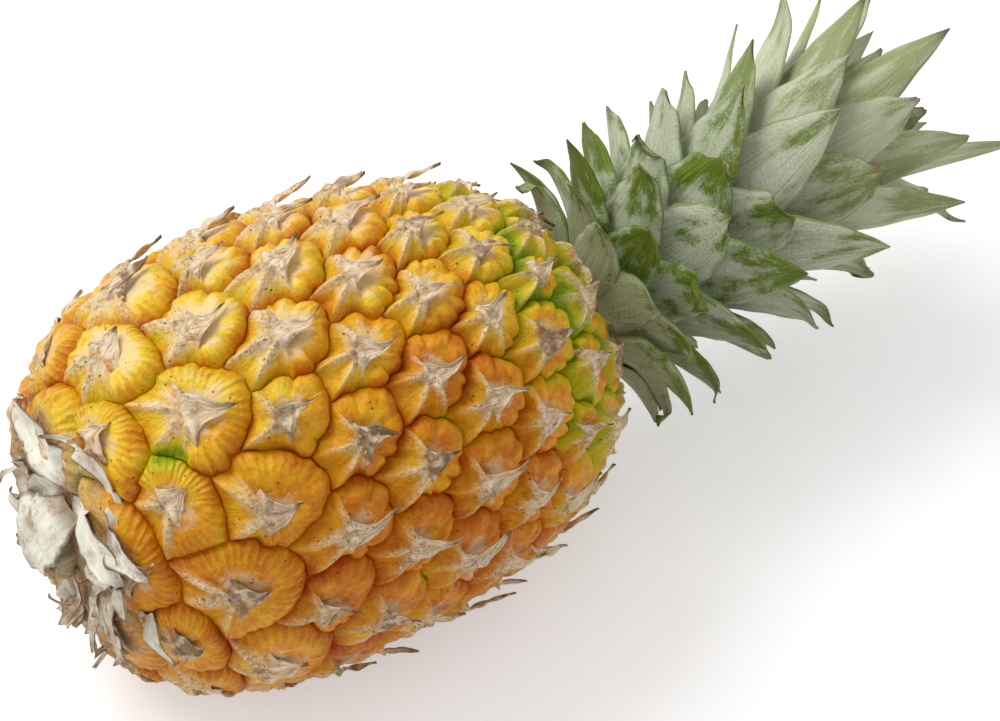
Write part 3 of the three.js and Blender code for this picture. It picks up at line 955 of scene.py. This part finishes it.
COLLAR_LEAVES = 8
LEAF_LENGTHS = (35, 101, 61)  # the oldest, the longest and the youngest
LEAF_HALF_WIDTHS = (9.5, 15, 9)
LEAF_FOOT_ANGLES = (54, 10)  # from the stem's axis in degrees, the oldest and the youngest
LEAF_TIP_ANGLES = (125, 16)
CUT_LEAVES = 0.4  # the share of the leaves that have lost their tips
CUT_MOST = 0.16  # the most of its length that such a leaf has lost
CURLED_FROM = 0.72  # leaves with a chance above this have a curled end
LEAF_ROWS = 44
LEAF_COLUMNS = 13
LEAF_STEPS = 400
STEM_RINGS = 60
STEM_COLUMNS = 48
Leaf = namedtuple("Leaf", "foot azimuth length half foot_angle tip_angle")


def stem_radius(along):
    return mix(STEM_RADIUS, STEM_TOP_RADIUS, np.clip(along / STEM_LENGTH, 0, 1))


def age_of(k):
    """0 for the oldest leaf, lowest on the stem, and 1 for the youngest."""
    return max(k, 0) / (LEAF_COUNT - 1)


def leaf_shape(k):
    """A leaf by its number up the stem; the numbers below 0 are the short leaves of the collar."""
    age = age_of(k)
    collar = min(k, 0)

    def vary(salt, size):
        return 1 + size * (2 * scatter(k, salt) - 1)

    oldest, longest, youngest = LEAF_LENGTHS
    narrow, widest, last = LEAF_HALF_WIDTHS
    grown_length = mix(oldest, longest, age ** 1.5)
    grown_width = mix(narrow, widest, step(0, 0.4, age))
    tip_angle = mix(*LEAF_TIP_ANGLES, age ** 0.6) + 2.5 * collar
    return Leaf(
        foot=6.5 + 0.35 * collar + (STEM_LENGTH - 14) * age ** 1.2,
        azimuth=math.radians(LEAF_START - k * SPIRAL_TURN),
        length=mix(grown_length, youngest, step(0.86, 1, age)) * vary(1, 0.07),
        half=mix(grown_width, last, step(0.7, 1, age)),
        foot_angle=math.radians(mix(*LEAF_FOOT_ANGLES, age ** 0.8)),
        tip_angle=math.radians(tip_angle * vary(2, 0.05)))


def leaf_midline(leaf, share):
    """Places along the stem and away from it, and the lean: the leaf bends as it grows away."""
    fine = np.linspace(0, 1, LEAF_STEPS + 1)
    lean = mix(leaf.foot_angle, leaf.tip_angle, fine ** 1.2)
    piece = leaf.length / LEAF_STEPS
    along = leaf.foot + np.concatenate([[0], np.cumsum(np.cos(lean[:-1]) * piece)])
    radius = np.concatenate([[0], np.cumsum(np.sin(lean[:-1]) * piece)])
    radius = stem_radius(leaf.foot) + LEAF_SEAT + radius
    return [np.interp(share, fine, values) for values in (along, radius, lean)]


def leaf_outline(leaf, share, foot_radius, cut):
    """Half of the leaf's width along its midline, and 1 at the end of a leaf that lost its tip."""
    foot_half = min(0.58 * leaf.half, 0.62 * foot_radius)
    widest = mix(foot_half, leaf.half, step(0, 0.3, share))
    half = widest * (1 - np.clip((share - 0.2) / 0.8, 0, 1) ** 1.9) ** 0.9
    near_cut = step(cut - 0.05, cut, share) * (cut < 1)
    return np.maximum(half * (1 - 0.35 * near_cut), 0.18), near_cut


def leaf_section(k, share, across, half, width, radius, lean):
    """Height over the midline: a channel that flattens and rolls towards the tip."""
    sag = half * np.minimum(mix(0.37, 0.45, share), half / (2 * radius)) * np.cos(lean * 0.5)
    roll = (scatter(k, 64) - 0.5) * 0.9 * step(0.3, 1, share)
    height = -(sag * across ** 2) + roll * width * 0.45
    channel = 0.05 * half * np.cos(across * math.pi) * (1 - share)
    return height - channel - 0.12 * half * np.abs(across) ** 5


def leaf_sheet(k):
    """A thick channelled leaf with thin margins: some tips are sharp, some cut blunt, some curled."""
    leaf = leaf_shape(k)
    radial = np.array([0, math.cos(leaf.azimuth), math.sin(leaf.azimuth)])
    axial = np.array([1.0, 0, 0])
    side = np.array([0, -math.sin(leaf.azimuth), math.cos(leaf.azimuth)])
    cut = 1 - CUT_MOST * scatter(k, 61) if scatter(k, 62) < CUT_LEAVES else 1.0
    share = (np.linspace(0, 1, LEAF_ROWS) ** 0.92 * cut)[:, None]
    across = np.linspace(-1, 1, LEAF_COLUMNS)[None, :]
    along, radius, lean = leaf_midline(leaf, share)
    middle = radial * radius + axial * along
    forward = unit(np.gradient(middle, axis=0))[:, None]
    outward = (radial * np.cos(lean) - axial * np.sin(lean))[:, None]
    half, near_cut = leaf_outline(leaf, share, radius[0, 0], cut)
    drift = (scatter(k, 63) - 0.5) * 0.1 * leaf.length * share ** 2.5
    nicks = 0.035 * np.sin(share * 31 + k) * np.sign(across) * step(0.6, 1, np.abs(across))
    width = across * half * (1 + nicks)
    height = leaf_section(k, share, across, half, width, radius, lean)
    point = middle[:, None] + side * (width + drift)[..., None] + outward * height[..., None]
    point = point + forward * jag(k, share, across, cut)[..., None]
    point = point + outward * (0.3 * wave_noise(point, 16, k + 200) * share)[..., None]
    if scatter(k, 66) > CURLED_FROM:
        hook = step(0.78, 1, share / cut) ** 2
        point = point + ((2.5 + 2.5 * scatter(k, 67)) * outward - 1.5 * forward) * hook[..., None]
    thickness = LEAF_THICKNESS * (1 - 0.45 * share) * (0.25 + 0.75 * (1 - np.abs(across) ** 3))
    offset = outward * thickness[..., None] / 2
    points, faces = sheet_mesh(to_crown(point + offset), to_crown(point - offset))
    values = on_both_sides(rows_of(share, across, scatter(k, 65)))
    is_top = np.repeat([1.0, 0.0], len(points) // 2)
    cut_edge = np.tile(np.repeat(near_cut, LEAF_COLUMNS), 2)
    return points, faces, values, rows_of(is_top, age_of(k), cut_edge)


def jag(k, share, across, cut):
    """How far points near a cut tip are pulled forward or back, as a torn edge."""
    if cut == 1.0:
        return 0 * share * across
    torn = wave_noise(together(across * 9, k, 0), 4, k)
    return step(cut - 0.14, cut, share) * (0.7 * torn - 3.2 * np.abs(across) ** 2.5)


def stem_body():
    """The crown's stem, ringed by the scars of its leaves; its foot runs into the top of the fruit."""
    along = np.linspace(1.5, leaf_shape(SEPARATE_LEAVES).foot + 8, STEM_RINGS)[:, None]
    turn = np.linspace(0, FULL_TURN, STEM_COLUMNS, endpoint=False)[None, :]
    scars = 0.35 * np.sin(along * 2.1 + 0.4 * np.sin(3 * turn))
    points, faces = capped_tube(around(along, stem_radius(along) + scars - 0.2, turn))
    return to_crown(points), faces


# ---- Materials. Noise scales are in bumps to the metre ----

class FruitSkin(Shader):
    """The fruit's skin. Its methods work out the layers, each over the colour given to it."""

    def __init__(self):
        super().__init__("fruit_skin")
        eye_x, eye_y, self.share = self.stored("eye")
        self.crease, self.side, self.chance = self.stored("tint")
        self.rim, self.corner, self.disc = self.stored("mark")
        self.green, self.stalkward, self.top_band_and_low_patch = self.stored("patch")
        _, place_y, place_z = self.split(self.place)
        self.above = place_z + 0.35 * place_y
        self.angle = eye_y.direction(eye_x)
        self.grain = self.noise(2300, 4, 0.75)
        # painted light: the top of the fruit gets more pale down and dry skin, as does the low patch near
        # the base
        self.painted_top_light_and_low_patch = self.above.ranged(0.106, 0.131, 0.0, 0.22) + 0.18 * self.top_band_and_low_patch.at_most(0.5)
        self.streak_place = self.joined(3.2 * self.angle, 0.8 * self.share, self.chance)

    def flesh(self):
        """Orange to yellow in broad patches and by the eye, and yellower near the crown and in the low
        patch near the base. Painted light: yellower towards the top, more orange lower down.
        """
        tone = 0.55 * self.noise(38) + 0.16 * self.chance + 0.14 * self.side + 0.02
        # painted light: yellower towards the top of the fruit and along its top band, more orange lower
        # down
        tone = tone + 0.14 * self.top_band_and_low_patch + self.above.ranged(0.08, 0.128, -0.1, 0.27)
        tone = tone + self.noise(170, 4).ranged(0.32, 0.7, -0.13, 0.15)
        tone = tone + self.green.ranged(0.0, 0.35, 0.0, 0.2)
        colour = tone.ramp((0.2, "D07408"), (0.4, "E0900C"), (0.6, "ECAE12"), (0.84, "F6CE2E"))
        mottle = self.noise(380, 4, 0.7)
        colour = colour.towards("BE5206", mottle.ranged(0.5, 0.66, 0.0, 0.42))
        return colour.towards("F2C844", mottle.ranged(0.48, 0.34, 0.0, 0.34))

    def creases_over(self, colour):
        """Creases that run reddish brown in places and yellow-green in others."""
        hot = self.noise(55) - 0.28 * (0.15 - self.green)
        deep = self.crease ** 1.4 * hot.ranged(0.3, 0.6, 0.9, 0.7)
        shade = hot.ramp((0.32, "B04206"), (0.45, "C66408"), (0.56, "DC9C10"), (0.66, "B8AC14"))
        return colour.towards(shade, deep)

    def green_over(self, colour):
        """Green where the skin is unripe, most of all on the bracts and in the creases."""
        unripe = self.green * self.noise(120).ranged(0.2, 0.75, 0.35, 1.35)
        unripe = unripe * (0.5 * self.side + 0.55 * self.crease + 0.15)
        shade = unripe.ramp((0.0, "E6AE18"), (0.35, "DCC218"), (0.7, "BCB812"), (1.0, "86A00E"))
        return colour.towards(shade, unripe.ranged(0.08, 0.5))

    def fan(self):
        """Fine ridges that fan out over each eye, from -1 to 1: a bump, and painted highlight on their
        crests and painted shade in their grooves.
        """
        waves = (36.0 * self.angle + 6.0 * self.noise(260, 2)).sine()
        return waves * (self.share.ranged(0.4, 0.85) * (0.7 * self.disc + 0.3))

    def down_over(self, colour):
        """Pale down in the bowl of the calyx."""
        # painted light: the pale down reaches farther out of the bowl towards the top of the fruit
        cloud = self.noise(220).ranged(0.3, 0.65, -0.12, 0.2) + (self.painted_top_light_and_low_patch - 0.06 * self.disc)
        bowl = ((1.0 - self.share) + cloud).ranged(0.38, 1.05)
        down = (bowl + 1.7 * (self.grain - 0.5)).ranged(0.25, 0.85)
        return colour.towards("F2DEB8", 0.62 * down)

    def dryness(self):
        """Where dry skin spreads over the bract from its peak, along its ridges and its rim."""
        streaks = self.noise(2.2, 4, at=self.streak_place)
        reach = 0.72 * streaks + 0.68 * self.corner + 0.12 * self.chance - 1.2 * self.share
        # painted light: dry skin reaches farther over the bracts towards the top of the fruit
        reach = reach + 1.9 * (self.grain - 0.5) + (0.15 * self.top_band_and_low_patch + self.painted_top_light_and_low_patch)
        rim_dry = self.rim.ranged(0.45, 0.95) * self.share.ranged(0.95, 0.4)
        dry = (reach.ranged(0.06, 0.58) * self.side).at_least(rim_dry * self.grain.ranged(0.25, 0.55))
        return dry.at_least(self.stalkward * streaks.ranged(0.25, 0.55, 0.55, 1.0))

    def dry_colour(self):
        """Cream to tan, stained purple in patches and brown around the stalk."""
        dust = self.noise(900, 4)
        colour = dust.ramp((0.25, "B07C4C"), (0.4, "E0B67C"), (0.54, "F3D9AE"), (0.74, "FDF3DF"))
        stained = self.share.ranged(0.62, 0.2) + 0.5 * self.top_band_and_low_patch
        purple = (self.noise(260, 4).ranged(0.49, 0.65) * stained).clamped()
        return colour.towards("7C5F62", 0.68 * purple).towards("70503F", 0.65 * self.stalkward)

    def specks_over(self, colour, dry):
        """Brown flecks that gather on the dry skin, and a few small dark specks all over."""
        fleck = self.flecks(0.57, 0.66, self.noise(160, 2).ranged(0.42, 0.6))
        colour = colour.towards("5F3E2A", fleck * (0.85 * dry))
        speck = self.dots(330).ranged(0.16, 0.08) * self.noise(90, 1).ranged(0.47, 0.56)
        return colour.towards("4A2E14", 0.8 * speck)


def fruit_material():
    skin = FruitSkin()
    colour = skin.green_over(skin.creases_over(skin.flesh()))
    fan = skin.fan()
    # painted highlight and painted shade: the ridges' crests are painted lighter yellow and their grooves
    # darker orange
    colour = colour.towards("F8CC30", (0.18 * fan).clamped())
    colour = colour.towards("BC6A06", (-0.24 * fan).clamped())
    dry = skin.dryness()
    colour = skin.down_over(colour).towards(skin.dry_colour(), 0.9 * dry)
    colour = skin.specks_over(colour, dry)
    rough = 0.4 * dry + skin.grain.ranged(0.3, 0.7, 0.28, 0.42)
    # relief finer than the mesh
    crust = skin.noise(7.0, 4, at=skin.streak_place) * (0.9 * skin.side)
    height = 0.3 * (fan * (1.0 - skin.side)) + 0.75 * skin.noise(650) + crust
    return skin.finish(colour, rough, height, 0.6, 0.2)


def dry_tip_material():
    make = Shader("dry_tips")
    free, across, chance = make.stored("sheet")
    run_u, _, _ = make.stored("spot")
    grain = make.noise(2600, 2)
    fibres = make.noise(2.0, 4, at=make.joined(1.6 * run_u, 2.2 * across, 30.0 * chance))
    colour = fibres.ramp((0.25, "946C4A"), (0.42, "D6B48A"), (0.56, "EEDABA"), (0.78, "FCF4E4"))
    dust = make.noise(260, 4).ranged(0.5, 0.66) * free.ranged(0.6, 0.0)
    colour = colour.towards("80625F", 0.48 * dust)
    colour = colour.towards("F6EBD2", 0.7 * abs(across).ranged(0.74, 0.98))
    fleck = make.flecks(0.58, 0.67, make.noise(160, 2).ranged(0.42, 0.6))
    colour = colour.towards("5F3E2A", 0.75 * fleck)
    # the ends are brown, and some tips are brown all over
    brown = free.ranged(0.62, 0.97, 0.0, 1.5) + chance.ranged(0.6, 0.95)
    brown = (brown * make.noise(330, 4).ranged(0.36, 0.58)).clamped()
    colour = colour.towards("70502F", 0.8 * brown)
    # the flesh shows through towards the root's outer edge
    edge = run_u.ranged(-0.1, -0.25) + 1.2 * (grain - 0.5)
    colour = colour.towards("DB981F", (0.9 * edge).clamped())
    return make.finish(colour, 0.7, fibres + 0.4 * make.noise(800), 0.5, 0.2)


def paper_material():
    make = Shader("dry_bract")
    along, across, aged = make.stored("sheet")
    run_u, run_v, _ = make.stored("spot")
    fibres = make.noise(2.4, 4, at=make.joined(0.8 * run_u, 2.4 * run_v, aged))
    clean = fibres.ramp((0.25, "DCD2B2"), (0.42, "EDE8D4"), (0.58, "F6F3E4"), (0.8, "FBF9EF"))
    old = fibres.ramp((0.28, "7C5F48"), (0.45, "B4977A"), (0.62, "D9C7AC"), (0.8, "EFE6D4"))
    cloudy = make.noise(110, 5, 0.65)
    stained = (cloudy.ranged(0.5, 0.66, 0.0, 0.75) + 0.8 * aged).clamped()
    colour = clean.towards(old, stained)
    margin = abs(across).ranged(0.82, 0.97) * cloudy.ranged(0.34, 0.52)
    colour = colour.towards("73563C", 0.8 * margin)
    ends = along.ranged(0.2, 0.0).at_least(along.ranged(0.86, 1.0, 0.0, 0.8))
    colour = colour.towards("85694A", 0.75 * ends)
    colour = colour.towards("5B4836", 0.7 * make.flecks(0.6, 0.68, cloudy.ranged(0.44, 0.6)))
    return make.finish(colour, 0.8, 0.3 * fibres + 0.9 * make.noise(300, 4), 0.35, 0.25)


def stalk_material():
    make = Shader("stalk")
    outward, _, _ = make.stored("spot")
    drawn_out = {0: make.place, 1: (160.0, 700.0, 700.0)}
    fibres = make.noise(1.0, 4, at=make.get("ShaderNodeVectorMath", drawn_out, operation="MULTIPLY"))
    colour = fibres.ramp((0.25, "5E4A30"), (0.5, "9C8862"), (0.75, "CBBF9C"))
    colour = colour.towards("B9B08E", 0.5 * outward.ranged(0.6, 0.95))
    return make.finish(colour, 0.85, fibres, 0.6, 0.2)


def leaf_material():
    make = Shader("leaf")
    share, across, chance = make.stored("sheet")
    outer, young, cut = make.stored("state")
    # lengthwise striations, in the leaf's own directions
    own = 40.0 * chance
    lines = make.noise(1.6, at=make.joined(16.0 * across, 1.4 * share, own))
    broad = make.noise(1.7, 4, at=make.joined(1.1 * across, 2.6 * share, own))
    grain = make.noise(1500)
    green = lines.ramp((0.25, "475A0E"), (0.5, "66791A"), (0.8, "95A43A"))
    powder = 0.55 * lines + 0.45 * grain
    bloom = powder.ramp((0.25, "8D9873"), (0.46, "BDC4A6"), (0.7, "EAECDA"))
    # the bloom is rubbed off in patches, along the margins, inside and towards the tip
    worn = 1.25 * broad + 0.3 * share.ranged(0.3, 1.05) + 0.5 * (grain - 0.5)
    worn = worn + young.ranged(0.4, 0.0, 0.0, 0.08) + 0.5 * (lines - 0.5) + 0.3 * (chance - 0.5)
    rubbed = worn.ranged(0.66, 0.95).at_least(0.85 * abs(across).ranged(0.9, 1.0))
    rubbed = rubbed.at_least(0.65 * (1.0 - outer))
    # the oldest leaves keep least bloom
    rubbed = rubbed.at_least(young.ranged(0.35, 0.0, 0.0, 0.38))
    colour = bloom.towards(green, rubbed)
    colour = colour.towards("E0E2B8", young.ranged(0.45, 0.9, 0.0, 0.4))
    colour = colour.towards("C9CDAA", 0.8 * share.ranged(0.16, 0.0))
    brown = cut * make.noise(160).ranged(0.3, 0.6)
    colour = colour.towards("8A6A4C", 0.9 * brown)
    end = share.ranged(0.93, 1.0) * chance.ranged(0.45, 0.6)
    colour = colour.towards("6B5230", 0.75 * end)
    speck = make.dots(1100).ranged(0.36, 0.2) * (make.noise(45) + 0.4 * broad).ranged(0.62, 0.84)
    colour = colour.towards("3F5420", speck * young.ranged(0.2, 0.75, 0.6, 0.15))
    rough = rubbed.ranged(0.0, 1.0, 0.62, 0.42)
    return make.finish(colour, rough, lines + 0.35 * grain, 0.3, 0.25)


def stem_material():
    make = Shader("stem")
    cloudy = make.noise(300, 4)
    colour = cloudy.ramp((0.3, "8F9A5C"), (0.55, "BFC490"), (0.8, "D9D8B4"))
    return make.finish(colour, 0.6, cloudy, 0.4, 0.4)


# ---- Studio: camera, light and floor ----

CAMERA_AIM = np.array([0.1371, -0.0137, 0.0075])  # from the base's pole to the middle of the view
CAMERA_AZIMUTH = math.radians(-31.18)
CAMERA_ELEVATION = math.radians(52.22)
CAMERA_DISTANCE = 1.2271
CAMERA_LENS = 151.9
KEY_AZIMUTH = math.radians(209)  # the main light stands behind the fruit, to the left
KEY_ELEVATION = math.radians(52)
KEY_DISTANCE = 1.6
KEY_SIZE = (1.1, 0.9)
KEY_POWER = 17.0
FILL_STRENGTH = 0.55
FLOOR_HALF = 3.0
FLOOR_DROP = 0.0002
FLOOR_GLOW = 0.36


def direction(azimuth, elevation):
    """From the object towards a place at an azimuth, where 0 is in front at -Y, and an elevation."""
    flat = math.cos(elevation)
    return Vector((math.sin(azimuth) * flat, -math.cos(azimuth) * flat, math.sin(elevation)))


def floor_material():
    """A pale floor that the camera and reflections see as white, apart from the shadow."""
    make = Shader("floor")
    speckle = make.noise(40, 2).ranged(0.0, 1.0, 0.93, 0.95)
    tint = make.joined(speckle, speckle, speckle)
    surface = make.get("ShaderNodeBsdfDiffuse", {"Color": tint, "Roughness": 1.0})
    glow = make.get("ShaderNodeEmission", {"Color": "FFFFFF", "Strength": FLOOR_GLOW})
    both = make.get("ShaderNodeAddShader", {0: surface, 1: glow})
    return make.end(make.get("ShaderNodeMixShader", {0: make.seen(), 1: surface, 2: both}))


def sky():
    """Even light from all around, which the camera and reflections see as plain white."""
    make = Shader("studio", owners="worlds")
    strength = make.seen().ranged(0.0, 1.0, FILL_STRENGTH, 1.0)
    background = make.get("ShaderNodeBackground", {"Color": "FFFFFF", "Strength": strength})
    return make.end(background, "ShaderNodeOutputWorld")


def make_studio():
    scene = bpy.context.scene
    scene.view_settings.view_transform = "Standard"
    target = Vector(BASE_POLE + CAMERA_AIM)
    camera_data = bpy.data.cameras.new("camera")
    camera_data.sensor_width = 36
    camera_data.lens = CAMERA_LENS
    camera_data.clip_end = 20
    scene.camera = add_object("camera", camera_data)
    aim_at(scene.camera, target, direction(CAMERA_AZIMUTH, CAMERA_ELEVATION) * CAMERA_DISTANCE)

    key_data = bpy.data.lights.new("key", "AREA")
    key_data.shape = "RECTANGLE"
    key_data.size, key_data.size_y = KEY_SIZE
    key_data.energy = KEY_POWER
    aim_at(add_object("key", key_data), target, direction(KEY_AZIMUTH, KEY_ELEVATION) * KEY_DISTANCE)

    scene.world = sky()

    corners = [(x * FLOOR_HALF, y * FLOOR_HALF, 0) for x, y in ((-1, -1), (1, -1), (1, 1), (-1, 1))]
    floor_mesh = bpy.data.meshes.new("floor")
    floor_mesh.from_pydata(corners, [], [(0, 1, 2, 3)])
    floor_mesh.materials.append(floor_material())
    floor = add_object("floor", floor_mesh)
    floor.location.z = cad_low.z - FLOOR_DROP


# ---- The pineapple ----

TIP_CLEARANCE = 0.15
PAPER_FLOOR_CLEARANCE = 0.2
LEAF_FLOOR_CLEARANCE = 0.3


def build_fruit(eyes, border):
    points, flat, places, tints, marks, calyx_faces, bract_faces = fruit_surface(eyes, border)
    arrays = (lay(points, 0), places, tints, marks, patches_of(flat))
    skin = fruit_material()
    for name, faces in (("fruit_calyxes", calyx_faces), ("fruit_bracts", bract_faces)):
        faces, (kept, *values) = keep_used(faces, arrays)
        attributes = dict(zip(("eye", "tint", "mark", "patch"), values))
        piece = add_piece(name, kept, faces, skin, attributes)
        if name == "fruit_calyxes":
            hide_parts("fruit")
    points, faces, values, places = stack_sheets([tip_sheet(eye) for eye in eyes if not eye.is_pole])
    laid = lay(points, TIP_CLEARANCE)
    attributes = {"sheet": values, "spot": places}
    add_piece("fruit_bract_tips", laid, faces, dry_tip_material(), attributes)


def build_base(eyes):
    material = paper_material()
    for i, paper in enumerate(BASE_BRACTS + BASE_STRIPS):
        points, faces, values, places = base_sheet(eyes, 300 + i, paper)
        is_node = i < len(BASE_BRACTS)
        name = f"base_bract_{i + 1}_paper" if is_node else f"base_strip_{i + 1 - len(BASE_BRACTS)}"
        laid = lay(points, PAPER_FLOOR_CLEARANCE)
        piece = add_piece(name, laid, faces, material, {"sheet": values, "spot": places})
        if is_node:
            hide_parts(f"base_bract_{i + 1}")
    points, faces, values = stalk_body()
    laid = to_frame(points)
    piece = add_piece("fruit_stalk_cut", laid, faces, stalk_material(), {"spot": values})
    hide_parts("fruit_stalk")


def build_crown():
    material = leaf_material()
    for k in range(-COLLAR_LEAVES, LEAF_COUNT):
        points, faces, values, state = leaf_sheet(k)
        laid = lay(points, LEAF_FLOOR_CLEARANCE)
        name = f"leaf_{k + 1:02d}" if k >= 0 else f"collar_leaf_{-k}"
        piece = add_piece(name, laid, faces, material, {"sheet": values, "state": state})
        if 0 <= k < SEPARATE_LEAVES:
            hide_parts(f"crown_leaf_{k + 1:02d}")
        elif k == SEPARATE_LEAVES:
            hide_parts("crown_heart")
    points, faces = stem_body()
    piece = add_piece("crown_stem_scarred", to_frame(points), faces, stem_material())
    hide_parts("crown_stem")


eyes = make_eyes()
border_points = join_cells(eyes)
make_studio()
build_fruit(eyes, border_points)
build_base(eyes)
build_crown()
